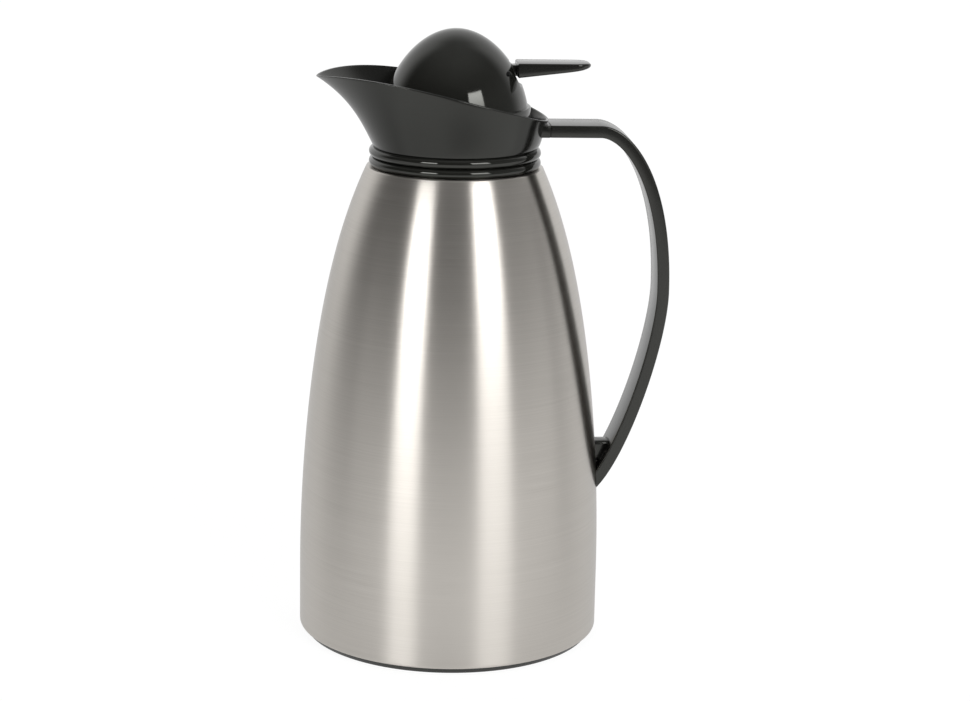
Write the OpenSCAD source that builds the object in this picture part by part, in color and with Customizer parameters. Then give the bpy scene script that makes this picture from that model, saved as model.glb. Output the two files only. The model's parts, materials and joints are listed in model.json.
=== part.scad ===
// Vacuum carafe: steel body over a glass liner, pouring collar, strap handle, and a
// screw stopper whose valve is opened by a thumb lever.
// Z is up, the handle points along +X, the spout along -X, and the origin is the
// centre of the base on the surface that the carafe stands on.

/* [Body] */
// Largest outer radius of the steel body
body_r = 71.6; // [70:0.2:76]
// Height of the steel body's top edge
body_h = 225.4; // [218:0.2:240]
// Outer radius of the steel body's top edge
shoulder_r = 41.2; // [40:0.1:44]
// Height at which the body starts to draw in
draw_in_z = 31; // [20:1:45]
// Share of the draw-in that follows the gentle curve
gentle_share = 0.77; // [0.7:0.01:0.85]
// Thickness of the steel sheet
sheet_t = 0.8; // [0.6:0.1:1]
// Inward roll of the sheet at the bottom edge
edge_roll = 1.1; // [0.8:0.1:1.4]

/* [Base] */
// How far the base ring on the table lies inside the body's side
foot_inset = 3.1; // [2.8:0.1:4]
// Height of the base ring below the steel
foot_h = 2.9; // [2.4:0.1:3.6]
// Width of the base ring, from its foot to the opening that the base cap closes
foot_ring_w = 18; // [14.5:0.5:22]
// Height of the base cap's wall
cap_h = 12; // [10:0.5:13]
// Thickness of the plastic in the base
base_wall = 2.4; // [2:0.1:2.8]
// Radius of the three wrench pockets under the cap
pocket_r = 3; // [2:0.5:4]

/* [Liner] */
// Gap between the steel body and the glass liner
liner_gap = 3.5; // [3.2:0.1:4.5]
// Thickness of the glass
glass_t = 1.2; // [1:0.1:1.5]
// Evacuated gap between the two glass walls
vacuum_gap = 4.8; // [4:0.1:6]
// Outer radius of the glass neck
glass_neck_r = 33; // [32.5:0.1:34]
// Height of the lowest point of the glass bowl
bowl_z = 12; // [12:0.5:16]
// Height of the rounded bowl
bowl_h = 26; // [22:1:30]
// Height at which the glass shoulder starts
glass_shoulder_z = 165; // [155:1:170]
// Radius of the pads that hold the two glass walls apart
pad_r = 5; // [3:0.5:6]

/* [Neck ring] */
// Height of one bead of the neck ring
bead_h = 4.6; // [4:0.1:5]
// Inset of the beads from the steel's top edge
ring_inset = 1.1; // [0.8:0.1:1.4]
// How far the beads stand out from the collar's neck
bead_proud = 1.8; // [1.4:0.1:2]

/* [Collar] */
// Wall of the collar at its neck
collar_wall = 2; // [1.8:0.1:2.2]
// Wall of the collar at its rim
rim_wall = 1.4; // [1.2:0.1:1.8]
// Height of the rim at the handle, above the basin's floor
rear_rim_h = 11.5; // [11:0.1:14]
// Flare of the rim at the handle
rear_flare = 5.2; // [4.8:0.1:5.4]
// Bulge of the outer wall under the handle
rear_bulge = 1.2; // [0.6:0.1:1.6]
// Height of the spout's tip above the basin's floor
tip_rim_h = 30.4; // [26:0.1:34]
// Reach of the spout beyond the neck
spout_reach = 26.7; // [22:0.1:32]
// Share of the flare that rises straight
straight_flare = 0.6; // [0.5:0.01:0.7]
// Depth of the stopper's seat below the basin's floor
seat_depth = 23.6; // [22:0.1:26]

/* [Handle] */
// Width of the handle's strap
strap_w = 23.5; // [20:0.5:24]
// Thickness of the handle's strap
strap_t = 5.7; // [5:0.1:6.5]
// Depth of the strap's top below the rear rim
strap_drop = 1.9; // [1.6:0.1:2.4]
// Length of the level stretch, from the collar's neck
bar_reach = 28.7; // [24:0.1:34]
// Farthest reach of the strap's middle from the body's side
grip_reach = 27; // [22.4:0.2:34]
// Height of that farthest point
grip_z = 167.6; // [155:0.2:175]
// Height of the strap's lower end
foot_end_z = 72.4; // [68:0.2:76]
// Width of the foot block between strap and body
foot_block_w = 9; // [7.5:0.5:14]
// Height of the foot block's top
foot_block_z = 94.4; // [93:0.2:97]
// Radius of the handle's fixing screw
screw_r = 2; // [1.5:0.1:2.2]

/* [Stopper] */
// Outer radius of the threaded plug
plug_r = 25.4; // [25:0.1:25.8]
// Wall of the plug
plug_wall = 2.4; // [2:0.1:3]
// Height of the thread lugs from the plug's wall
lug_h = 1.8; // [1.4:0.1:2]
// Rise of the thread in one full turn
thread_lead = 12; // [11:0.5:13]
// Angle that one lug covers
lug_arc = 44; // [36:1:48]
// Height of the pouring windows
window_h = 6; // [5:0.1:6.4]
// Width of a pouring window
window_w = 15; // [10:0.5:17]
// Radius of the valve's opening
port_r = 13; // [10:0.5:14]

/* [Dome] */
// Height of the dome
dome_h = 44.9; // [43:0.1:48]
// Wall of the dome
dome_wall = 2.4; // [2:0.1:2.6]
// Running gap between the dome's lip and the collar
lip_gap = 1.5; // [1.3:0.1:1.8]
// How far the lip stands out from the dome
lip_proud = 0.5; // [0.4:0.1:1]
// Height of the lip
lip_h = 9.6; // [8:0.1:10.5]

/* [Lever] */
// Distance of the lever's pin from the axis
pin_x = 22.8; // [22.6:0.1:23]
// Height of the pin above the dome's lower edge
pin_h = 26; // [25.6:0.1:26.4]
// Radius of the pin
pin_r = 1.1; // [1:0.1:1.3]
// Reach of the lever's tip from the axis
lever_reach = 62.3; // [58:0.1:66]
// Width of the lever's blade
blade_w = 17.8; // [16:0.2:18.6]
// Height of the blade at its root
blade_h = 6.8; // [6:0.1:7]
// Angle through which the lever is pressed
press_angle = 14; // [10:0.5:14]

/* [Valve] */
// Radius of the valve's stem
stem_r = 2.5; // [2:0.1:2.6]
// Radius of the valve's disc
disc_r = 16.5; // [16:0.1:18]
// Thickness of the valve's disc
disc_t = 2.5; // [2:0.1:3]
// Mean radius of the return spring
spring_r = 5.7; // [5.6:0.1:7]
// Thickness of the spring's wire
wire_d = 1; // [0.8:0.1:1.1]
// Number of turns in the spring
spring_turns = 7; // [5:1:8]

/* [Hidden] */

$fn = 96;
run_clear = 0.05;      // radial clearance of a pin or shaft that turns or slides
press_clear = 0.02;    // clearance of pieces that are pressed or screwed together
fit_clear = 0.1;       // clearance between fixed pieces that fit into each other
loose_clear = 0.4;     // clearance where pieces only pass each other
cut = 1;               // how far a cutting shape runs past what it cuts

plastic_black = [0.07, 0.07, 0.07];
plastic_grey = [0.22, 0.22, 0.21];
steel = [0.72, 0.71, 0.69];
silver = [0.8, 0.82, 0.84];
silicone = [0.85, 0.83, 0.78];
rubber = [0.12, 0.12, 0.12];
blackened = [0.1, 0.1, 0.1];

// ---- curves ----
function lerp(a, b, t) = a + (b - a) * t;
function bezier(p, t) = len(p) == 1
    ? p[0]
    : bezier([for (i = [0:len(p) - 2]) lerp(p[i], p[i + 1], t)], t);
function bezier_run(p, t) = bezier([for (i = [0:len(p) - 2]) p[i + 1] - p[i]], t);
function unit(v) = v / norm(v);
function along(p, steps) = [for (i = [0:steps]) bezier(p, i / steps)];

// ---- body profile ----
edge_z = foot_h + 1.3;                      // where the bottom roll meets the wall
body_steps = 22;
function draw_in(z) = max(0, (z - draw_in_z) / (body_h - draw_in_z));
function body_curve(z) = body_r - (body_r - shoulder_r)
    * (gentle_share * pow(draw_in(z), 2) + (1 - gentle_share) * pow(draw_in(z), 6));
function body_slope(z) = (body_curve(z + 1) - body_curve(z - 1)) / 2;
function sheet_at(z) = sheet_t * sqrt(1 + pow(body_slope(z), 2));
body_zs = concat([edge_z], [for (i = [0:body_steps]) lerp(draw_in_z, body_h, i / body_steps)]);

// ---- heights, from the table up ----
lip_top_z = foot_h + sheet_t;               // inner side of the rolled bottom edge
ring_top_z = body_h + 2 * bead_h;
floor_z = ring_top_z + 2;                   // floor of the pouring basin
floor_t = 3;
seat_z = floor_z - seat_depth;              // underside of the stopper's seat
seat_t = 2.5;
gasket_t = 2;
mouth_z = seat_z - gasket_t;                // top of the glass mouth
seal_t = 2;
plug_z = seat_z + seat_t + seal_t;          // underside of the plug
window_z = floor_z + 1;
dome_z = window_z + window_h + 0.9;         // lower edge of the dome
flange_z = dome_z + 0.2;
flange_t = 2.5;
dome_top_z = dome_z + dome_h;

// ---- radii that follow the body's side ----
foot_r = body_r - foot_inset;
cap_hole_r = foot_r - foot_ring_w;          // opening that the base cap closes
grip_x = body_r + grip_reach;

// ---- radii, from the steel's top edge in ----
ring_r = shoulder_r - ring_inset;
neck_r = ring_r - bead_proud;
hole_r = neck_r - 1.9;                      // opening in the steel's top
skirt_r = hole_r - loose_clear;
lip_r = neck_r - collar_wall - lip_gap;     // lip of the dome
dome_r = lip_r - lip_proud;
thread_clear = 0.4;
bore_r = plug_r + lug_h + thread_clear;     // collar's threaded bore
ledge_r = plug_r + 0.6;                     // tips of the collar's thread ledges
tube_r = bore_r + 2.2;
passage_r = 23;                             // opening through the seat

// ---- places that several pieces share ----
pin_z = dome_z + pin_h;
rise_per_degree = thread_lead / 360;
thread_starts = 3;
lug_t = 1.5;
lug_z = plug_z + 8;
ledge_z = lug_z + lug_t + 0.2;
strap_z = floor_z + rear_rim_h - strap_drop - strap_t / 2;
boss_x = neck_r + 5.2;                      // face of the collar's socket
foot_block_h = 8;
foot_screw_z = foot_block_z - foot_block_h / 2;
blade_root_x = pin_x + 5.1;
blade_top_z = pin_z + 3.9;
hub_r = 3.9;                                // lever's hub round the pin
hub_w = 7.2;
slot_w = hub_w + 1;
pocket_x = pin_x + 3.4;                     // back wall of the lever's recess
pocket_w = blade_w + 1;
// the recess is deep enough for the blade when the lever is pressed
pocket_floor_z = blade_top_z - blade_h - (dome_r - pin_x) * sin(press_angle) - 1.2;
pocket_wall = 1.6;
head_z = pin_z + 2.4;                       // underside of the stem's cap
fork_gap = 0.3;

// ================= body and base =================

edge_lap = 2;                               // how far the rolled edge reaches in over the foot
edge_in_r = foot_r - edge_lap;              // inner edge of the sheet's rolled bottom

module outer_shell() color(steel) difference() {
    rotate_extrude() polygon(concat(
        [[edge_in_r, foot_h], [body_r - edge_roll, foot_h], [body_r - 0.35, foot_h + 0.4]],
        [for (z = body_zs) [body_curve(z), z]],
        [[hole_r, body_h], [hole_r, body_h - sheet_t]],
        [for (i = [len(body_zs) - 1:-1:1]) let (z = body_zs[i] - (i == len(body_zs) - 1 ? sheet_t : 0))
            [body_curve(z) - sheet_at(z), z]],
        [[body_r - sheet_t, edge_z], [body_r - edge_roll - 0.3, lip_top_z], [edge_in_r, lip_top_z]]
    ));
    translate([body_r / 2, 0, foot_screw_z]) rotate([0, 90, 0])
        cylinder(r = screw_r + 0.3, h = body_r);
}

hub_wall_r = edge_in_r - 0.3;               // upright wall inside the rolled edge
cap_lip_r = cap_hole_r + 2.9;
cap_ledge_z = 2;                            // underside of the ledge that stops the cap
catch_w = 1.2;                              // how far the snap catches stand out

module base_ring() color(plastic_black) rotate_extrude() polygon([
    [cap_lip_r, 0], [foot_r, 0], [foot_r + 1.7, foot_h], [hub_wall_r, foot_h],
    [hub_wall_r, lip_top_z + 0.2], [hub_wall_r + catch_w, lip_top_z + 0.2], [hub_wall_r, lip_top_z + 3],
    [hub_wall_r, cap_h - 1], [hub_wall_r - base_wall, cap_h - 1], [hub_wall_r - base_wall, foot_h],
    [cap_hole_r + base_wall, foot_h], [cap_hole_r + base_wall, cap_h], [cap_hole_r, cap_h],
    [cap_hole_r, cap_ledge_z], [cap_lip_r, cap_ledge_z]
]);

cap_wall_r = cap_hole_r - 0.3;
cap_z = 0.8;
cap_floor_z = cap_z + base_wall;
cushion_gap = 10.5;                         // from the cap's opening in to the cushion
cushion_w = 16;
cushion_out_r = cap_hole_r - cushion_gap;
cushion_in_r = cushion_out_r - cushion_w;
wrench_r = cushion_out_r - 7;               // circle of the wrench pockets
wrench_depth = 1.4;
cushion_wall_r = cushion_in_r - 0.3;        // upright ring that keeps the cushion in its place

module base_cap() color(plastic_black) difference() {
    rotate_extrude() polygon([
        [0, cap_z], [cap_lip_r - loose_clear, cap_z],
        [cap_lip_r - loose_clear, cap_ledge_z - fit_clear], [cap_wall_r, cap_ledge_z - fit_clear],
        [cap_wall_r, cap_h + 0.2], [cap_wall_r + catch_w, cap_h + 0.2], [cap_wall_r, cap_h + 2],
        [cap_wall_r - base_wall, cap_h + 2], [cap_wall_r - base_wall, cap_floor_z],
        [cushion_wall_r, cap_floor_z], [cushion_wall_r, cap_h - 3],
        [cushion_wall_r - base_wall, cap_h - 3], [cushion_wall_r - base_wall, cap_floor_z],
        [0, cap_floor_z]
    ]);
    for (a = [90, 210, 330]) rotate(a) translate([wrench_r, 0, cap_z - cut])
        cylinder(r = pocket_r, h = cut + wrench_depth);
}

// ================= glass liner =================

bowl_r = body_r - sheet_t - liner_gap;
glass_neck_z = mouth_z - 7;
bowl_steps = 10;
belly_steps = 8;
shoulder_steps = 10;
function bowl_depth(r) = bowl_z + bowl_h * (1 - sqrt(1 - pow(r / bowl_r, 2)));
function belly(z) = body_curve(z) - sheet_t - liner_gap;
function ease(t) = t * t * (3 - 2 * t);
// Profile of a glass wall, from the bottom of the bowl to the neck, at a depth inside the outermost surface
function glass_profile(depth, top_z) = concat(
    [for (i = [0:bowl_steps]) let (a = 90 * i / bowl_steps)
        [(bowl_r - depth) * sin(a), bowl_z + bowl_h - (bowl_h - depth) * cos(a)]],
    [for (i = [1:belly_steps]) let (z = lerp(bowl_z + bowl_h, glass_shoulder_z, i / belly_steps))
        [belly(z) - depth, z]],
    [for (i = [1:shoulder_steps]) let (t = i / shoulder_steps)
        [lerp(belly(glass_shoulder_z), glass_neck_r, ease(t)) - depth,
         lerp(glass_shoulder_z, glass_neck_z, t)]],
    [[glass_neck_r - depth, top_z]]
);
function reversed(p) = [for (i = [len(p) - 1:-1:0]) p[i]];
inner_depth = glass_t + vacuum_gap;

module liner_outer_glass() color(silver) union() {
    rotate_extrude() polygon(concat(
        glass_profile(0, mouth_z - glass_t),
        reversed(glass_profile(glass_t, mouth_z - glass_t))
    ));
    // sealed pumping tip
    translate([0, 0, bowl_z - 3]) cylinder(r1 = 1.2, r2 = 3.2, h = 3.6);
}

module liner_inner_glass() color(silver) rotate_extrude() polygon(concat(
    glass_profile(inner_depth, mouth_z - glass_t),
    [[glass_neck_r, mouth_z - glass_t], [glass_neck_r, mouth_z - 0.4], [glass_neck_r - 0.4, mouth_z],
     [glass_neck_r - inner_depth - glass_t + 0.4, mouth_z],
     [glass_neck_r - inner_depth - glass_t, mouth_z - 0.4]],
    reversed(glass_profile(inner_depth + glass_t, mouth_z - glass_t - 0.2))
));

pad_height = 24;                            // of the pads, above the straight part of the body
pad_z = draw_in_z + pad_height;

module liner_pads() color(silicone) for (a = [60, 180, 300]) rotate(a)
    translate([belly(pad_z) - inner_depth + 0.15, 0, pad_z]) rotate([0, 90, 0])
        cylinder(r = pad_r, h = vacuum_gap - 0.5);

module liner_cushion() color(rubber) rotate_extrude() polygon([
    [cushion_in_r, cap_floor_z], [cushion_out_r, cap_floor_z],
    [cushion_out_r, bowl_depth(cushion_out_r) - 0.3], [lerp(cushion_in_r, cushion_out_r, 0.5),
        bowl_depth(lerp(cushion_in_r, cushion_out_r, 0.5)) - 0.3],
    [cushion_in_r, bowl_depth(cushion_in_r) - 0.3]
]);

module neck_gasket() color(silicone) rotate_extrude() polygon([
    [glass_neck_r - inner_depth - glass_t + 0.4, mouth_z], [glass_neck_r - 0.4, mouth_z],
    [glass_neck_r - 0.4, seat_z], [glass_neck_r - inner_depth - glass_t + 0.4, seat_z]
]);

// ================= neck ring and collar =================

module neck_ring() color(plastic_black) rotate_extrude() difference() {
    union() {
        translate([skirt_r + 0.2, body_h]) square([neck_r - skirt_r - 0.2, 2 * bead_h]);
        for (i = [0, 1]) translate([ring_r - bead_h / 2, body_h + (i + 0.5) * bead_h])
            circle(r = bead_h / 2);
    }
    translate([0, body_h]) square([skirt_r + 0.2, 2 * bead_h]);
}

// Rim of the collar: one curve from the handle side round to the spout's tip
rear_x = neck_r + rear_flare;
tip_x = neck_r + spout_reach;
rear_z = floor_z + rear_rim_h;
tip_z = floor_z + tip_rim_h;
side_pull = 12.6;                           // how far the rim's curve pulls out beside the dome
spout_pull_x = 36.5;                        // where it turns into the spout
spout_pull_y = 16.7;
spout_pull_z = 10.7;
tip_half_w = 12.4;                          // half width of the pull at the spout's tip
tip_sag = 0.4;
rim_curve = [
    [rear_x, 0, rear_z], [rear_x, neck_r + side_pull, rear_z],
    [-spout_pull_x, neck_r + spout_pull_y, tip_z + spout_pull_z],
    [-tip_x, tip_half_w, tip_z + tip_sag], [-tip_x, 0, tip_z]
];
rim_steps = 32;                             // columns on one side of the collar
flare_steps = 9;
flare_z = ring_top_z + 0.4;
flare_power = 3.2;
function flare(h) = straight_flare * h + (1 - straight_flare) * pow(h, flare_power);
// Bulge of the outer wall, strongest in its lower third and gone half way to the spout
function bulge(u, h) = rear_bulge * pow(max(0, 1 - 2 * u), 2) * sin(180 * sqrt(h));
function rim_side(k) = k <= rim_steps ? 1 : -1;
function rim_u(k) = k <= rim_steps ? k / rim_steps : 2 - k / rim_steps;
// How much longer a radial cut through the rim is than its wall
function rim_skew(u) = let (
    p = bezier(rim_curve, u), d = bezier_run(rim_curve, u),
    out = unit([d[1], -d[0]]), away = unit([p[0], p[1]]))
    1 / abs(out * away);
function flare_point(k, h, inside) = let (
    u = rim_u(k), rim = bezier(rim_curve, u), away = unit([rim[0], rim_side(k) * rim[1]]),
    wall = lerp(collar_wall, rim_wall, h) * lerp(1, rim_skew(u), flare(h)),
    r = lerp(neck_r, norm([rim[0], rim[1]]), flare(h)) + (inside ? -wall : bulge(u, h)))
    [away[0] * r, away[1] * r, lerp(flare_z, rim[2], h)];
flare_loop = 2 * flare_steps + 2;           // points round one column's wall
flare_points = [for (k = [0:2 * rim_steps - 1]) for (j = [0:flare_loop - 1])
    j <= flare_steps
        ? flare_point(k, j / flare_steps, false)
        : flare_point(k, (flare_loop - 1 - j) / flare_steps, true)];
function flare_id(k, j) = (k % (2 * rim_steps)) * flare_loop + j % flare_loop;
flare_faces = [for (k = [0:2 * rim_steps - 1]) for (j = [0:flare_loop - 1]) for (f = [
    [flare_id(k, j), flare_id(k, j + 1), flare_id(k + 1, j + 1)],
    [flare_id(k, j), flare_id(k + 1, j + 1), flare_id(k + 1, j)]]) f];

// A short stretch of thread: a bar from r_in to r_out that climbs along its arc
module thread_bar(r_in, r_out, thick, arc) {
    bar_steps = 8;
    side = sign(r_in - r_out);
    points = [for (i = [0:bar_steps])
        let (a = lerp(-arc / 2, arc / 2, i / bar_steps), z = a * rise_per_degree)
        for (c = [[r_in, -side], [r_out, -0.7 * side], [r_out, 0.7 * side], [r_in, side]])
            [c[0] * cos(a), c[0] * sin(a), z + c[1] * thick / 2]];
    faces = concat(
        [[0, 1, 2, 3]], [[for (j = [3:-1:0]) 4 * bar_steps + j]],
        [for (i = [0:bar_steps - 1]) for (j = [0:3]) for (f = [
            [4 * i + j, 4 * i + 4 + j, 4 * i + (j + 1) % 4],
            [4 * i + 4 + j, 4 * i + 4 + (j + 1) % 4, 4 * i + (j + 1) % 4]]) f]);
    polyhedron(points, faces, convexity = 4);
}

socket_w = strap_w - 4.5;
socket_t = strap_t - 2.7;
socket_x = neck_r + 2.8;                    // bottom of the socket
boss_lean = 0.6;                            // share of the flare that the socket's inner side follows

module collar() color(plastic_grey) difference() {
    union() {
        rotate_extrude() polygon([
            [passage_r, seat_z], [tube_r, seat_z], [tube_r, floor_z - floor_t],
            [skirt_r - collar_wall, floor_z - floor_t], [skirt_r - collar_wall, body_h - 4],
            [skirt_r + 0.2, body_h - 4], [hole_r + 0.8, body_h - 2.4],
            [hole_r + 0.8, body_h - sheet_t - 0.3], [skirt_r, body_h - sheet_t - 0.3],
            [skirt_r, ring_top_z], [neck_r - 0.3, ring_top_z], [neck_r - 0.3, floor_z],
            [bore_r, floor_z], [bore_r, seat_z + seat_t], [passage_r, seat_z + seat_t]
        ]);
        polyhedron(flare_points, flare_faces, convexity = 6);
        // socket that the handle plugs into
        difference() {
            translate([neck_r - 2, -strap_w / 2, strap_z - strap_t / 2])
                cube([boss_x - neck_r + 2, strap_w, strap_t]);
            translate([0, 0, strap_z - strap_t / 2 - cut])
                cylinder(r1 = neck_r - 0.1, r2 = neck_r + boss_lean * rear_flare, h = strap_t + 2 * cut);
        }
        for (i = [0:thread_starts - 1]) rotate(i * 360 / thread_starts) translate([0, 0, ledge_z])
            thread_bar(bore_r + 1, ledge_r, lug_t, lug_arc);
    }
    translate([socket_x, -socket_w / 2, strap_z - socket_t / 2])
        cube([boss_x - socket_x + cut, socket_w, socket_t]);
}

// ================= handle =================

knee_pull = 12.4;                           // roundness of the bend behind the level stretch
upper_pull = 53.5;                          // pull of the curve above the grip
lower_pull = 25.4;                          // and below it
end_pull_x = 14.8;                          // direction in which the strap reaches its end
end_pull_z = 14.2;
end_lap = 5.1;                              // how far the strap's line ends inside the body
strap_end = [body_r - end_lap, foot_end_z];
strap_line = [
    [[neck_r + bar_reach, strap_z], [neck_r + bar_reach + knee_pull, strap_z],
     [grip_x, grip_z + upper_pull], [grip_x, grip_z]],
    [[grip_x, grip_z], [grip_x, grip_z - lower_pull],
     strap_end + [end_pull_x, end_pull_z], strap_end]
];
strap_steps = 16;
// Points on one side of the strap: side 1 is the outer face, side -1 the inner one
function strap_side(side) = [for (s = [0, 1]) for (i = [s:strap_steps]) let (
    t = i / strap_steps, d = unit(bezier_run(strap_line[s], t)))
    bezier(strap_line[s], t) + side * strap_t / 2 * [-d[1], d[0]]];

foot_block_out = 5.4;                       // reach of its top beyond the body's side
foot_block_low_out = 1;                     // and of its underside
foot_block_face = 4;                        // height of its outer face
body_near = 20;                             // stretch of the body above and below the foot

// Solid of the body's outside near the handle's foot, a hair larger than the steel
module body_clearance() rotate_extrude() polygon(concat(
    [[0, foot_end_z - body_near]],
    [for (i = [0:6]) let (z = lerp(foot_end_z - body_near, foot_block_z + body_near, i / 6))
        [body_curve(z) + fit_clear, z]],
    [[0, foot_block_z + body_near]]
));

tongue_lap = 2;                             // how far the tongue runs on inside the strap

module handle() color(plastic_black) difference() {
    union() {
        rotate([90, 0, 0]) linear_extrude(strap_w, center = true) polygon(concat(
            [[boss_x, strap_z + strap_t / 2]], strap_side(1),
            reversed(strap_side(-1)), [[boss_x, strap_z - strap_t / 2]]
        ));
        // tongue in the collar's socket
        translate([socket_x + 0.3, -socket_w / 2 + fit_clear, strap_z - socket_t / 2 + fit_clear])
            cube([boss_x - socket_x + tongue_lap, socket_w - 2 * fit_clear, socket_t - 2 * fit_clear]);
        // foot block between the strap and the body
        rotate([90, 0, 0]) linear_extrude(foot_block_w, center = true) polygon([
            [shoulder_r, foot_block_z], [body_r + foot_block_out, foot_block_z],
            [body_r + foot_block_out, foot_block_z - foot_block_face],
            [body_r + foot_block_low_out, foot_block_z - foot_block_h],
            [shoulder_r, foot_block_z - foot_block_h]
        ]);
    }
    body_clearance();
    translate([body_r / 2, 0, foot_screw_z]) rotate([0, 90, 0])
        cylinder(r = screw_r + press_clear, h = body_r / 2 + foot_block_out);
}

washer_t = 0.8;
washer_r = 5;
washer_top_z = foot_screw_z + washer_r;
// the washer is flat, so its edge touches the round inside of the shell first
screw_seat_x = sqrt(pow(body_curve(washer_top_z) - sheet_at(washer_top_z), 2) - pow(washer_r, 2)) - run_clear;
head_x = screw_seat_x - washer_t;
screw_end_x = body_r + foot_block_out - 1.4;
screw_head_r = 3.6;
screw_head_h = 1.5;

module handle_screw() color(steel) translate([head_x, 0, foot_screw_z]) union() {
    rotate([0, 90, 0]) cylinder(r = screw_r, h = screw_end_x - head_x);
    rotate([0, -90, 0]) cylinder(r1 = screw_head_r, r2 = screw_head_r - 0.8, h = screw_head_h);
}

module screw_washer() color(steel) translate([head_x, 0, foot_screw_z])
    rotate([0, 90, 0]) difference() {
        cylinder(r = washer_r, h = washer_t);
        translate([0, 0, -cut]) cylinder(r = screw_r + run_clear, h = washer_t + 2 * cut);
    }

// ================= stopper =================

guide_r = 4.2;
guide_up = 4;
guide_down = 4;
flange_r = dome_r - dome_wall - fit_clear;

module stopper_plug() color(plastic_black) difference() {
    union() {
        rotate_extrude() polygon([
            [port_r, plug_z], [plug_r, plug_z], [plug_r, flange_z], [flange_r, flange_z],
            [flange_r, flange_z + flange_t], [guide_r, flange_z + flange_t],
            [guide_r, flange_z + flange_t + guide_up], [stem_r + run_clear, flange_z + flange_t + guide_up],
            [stem_r + run_clear, flange_z - guide_down], [guide_r, flange_z - guide_down],
            [guide_r, flange_z], [plug_r - plug_wall, flange_z], [plug_r - plug_wall, plug_z + seat_t],
            [port_r, plug_z + seat_t]
        ]);
        for (i = [0:thread_starts - 1]) rotate(i * 360 / thread_starts) translate([0, 0, lug_z])
            thread_bar(plug_r - 1, plug_r + lug_h, lug_t, lug_arc);
    }
    for (i = [0:5]) rotate(30 + i * 60)
        translate([plug_r - plug_wall - cut, -window_w / 2, window_z])
            cube([plug_wall + 2 * cut, window_w, window_h]);
}

module stopper_seal() color(silicone) rotate_extrude() polygon([
    [passage_r + 0.4, plug_z - seal_t], [bore_r - loose_clear, plug_z - seal_t],
    [bore_r - loose_clear, plug_z - 0.4], [plug_r, plug_z], [passage_r + 0.4, plug_z]
]);

dome_steps = 18;
side_share = 0.54;                          // pull of the dome's curve up its side
crown_share = 0.5015;                       // and out from its crown
function dome_curve(r, top_z) =
    [[r, dome_z], [r, dome_z + dome_h * side_share], [r * crown_share, top_z], [0, top_z]];

module dome_outside() rotate_extrude() polygon(concat(
    [[0, dome_z]], along(dome_curve(dome_r, dome_top_z), dome_steps)
));

module dome_shell() rotate_extrude() union() {
    polygon(concat(
        along(dome_curve(dome_r, dome_top_z), dome_steps),
        reversed(along(dome_curve(dome_r - dome_wall, dome_top_z - dome_wall), dome_steps))
    ));
    // lip round the lower edge
    polygon([
        [dome_r - 1, dome_z], [lip_r - 0.4, dome_z], [lip_r, dome_z + 0.6], [lip_r, dome_z + lip_h - 1.6],
        [lip_r - 0.4, dome_z + lip_h - 0.6], [lip_r - 1, dome_z + lip_h - 0.1], [dome_r - 1, dome_z + lip_h]
    ]);
    // shoulder that sits on the plug's flange
    polygon([
        [flange_r - 1.2, flange_z + flange_t], [dome_r - 1, flange_z + flange_t],
        [dome_r - 1, flange_z + flange_t + 2], [flange_r - 1.2, flange_z + flange_t + 2]
    ]);
}

module along_pin(r, w) translate([pin_x, 0, pin_z]) rotate([90, 0, 0]) cylinder(r = r, h = w, center = true);

ear_r = 3.2;                                // ears that hold the pin
slot_back = 8;                              // reach of the hub's slot behind the pin
hub_clear = 0.7;

module stopper_dome() color(plastic_black) difference() {
    union() {
        dome_shell();
        // walls of the lever's recess and the two ears that hold its pin
        intersection() {
            dome_outside();
            difference() {
                union() {
                    translate([pocket_x, -pocket_w / 2, pocket_floor_z] - pocket_wall * [1, 1, 1])
                        cube([dome_r, pocket_w + 2 * pocket_wall, dome_h]);
                    along_pin(ear_r, 2 * dome_r);
                }
                translate([pin_x - slot_back, -slot_w / 2, pocket_floor_z - dome_h])
                    cube([pocket_x - pin_x + slot_back, slot_w, 2 * dome_h]);
            }
        }
    }
    translate([pocket_x, -pocket_w / 2, pocket_floor_z]) cube([dome_r, pocket_w, dome_h]);
    translate([pin_x - slot_back, -slot_w / 2, pin_z - hub_r - hub_clear])
        cube([dome_r, slot_w, 2 * (hub_r + hub_clear)]);
    along_pin(pin_r + press_clear, 3 * dome_r);
}

pin_half = 14.6;                            // half of the pin's length, short of the dome's surface
module lever_pin() color(blackened) along_pin(pin_r, 2 * pin_half);

// ================= lever =================

blade_edge = 0.6;                           // chamfer at the blade's root
tip_bend = 12.3;                            // stretch over which the underside rises to the tip
tip_bend_h = 4.2;
nose = 4;                                   // rounding of the tip from below
nose_h = 3.2;
tip_edge = 1.2;                             // height of the rounding on top
tip_top = 5;                                // and its length
blade_tip = [lever_reach, blade_top_z - tip_edge];
blade_side = concat(
    [[blade_root_x, blade_top_z - blade_edge], [blade_root_x, blade_top_z - blade_h + 0.4],
     [blade_root_x + 0.4, blade_top_z - blade_h]],
    along([[lever_reach - tip_bend, blade_top_z - tip_bend_h], [lever_reach - nose, blade_top_z - nose_h],
           [lever_reach, blade_top_z - nose_h + 1], blade_tip], 8),
    along([blade_tip, [lever_reach, blade_top_z], [lever_reach - 2, blade_top_z],
           [lever_reach - tip_top, blade_top_z]], 6),
    [[blade_root_x + blade_edge, blade_top_z]]
);
tip_round = 7;

neck_t = 5;                                 // neck between the blade and the hub
arm_t = 3.4;                                // arm from the hub to the stem
arm_z = pin_z - 2.3;
fork_w = 2 * (stem_r + loose_clear) + 6.2;
fork_from = -3.4;
fork_to = 12;
fork_slot_to = 7;
fork_lap = 3;                               // how far the arm runs into the fork
finger_r = 1.6;                             // rounded fingers under the stem's cap

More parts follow.
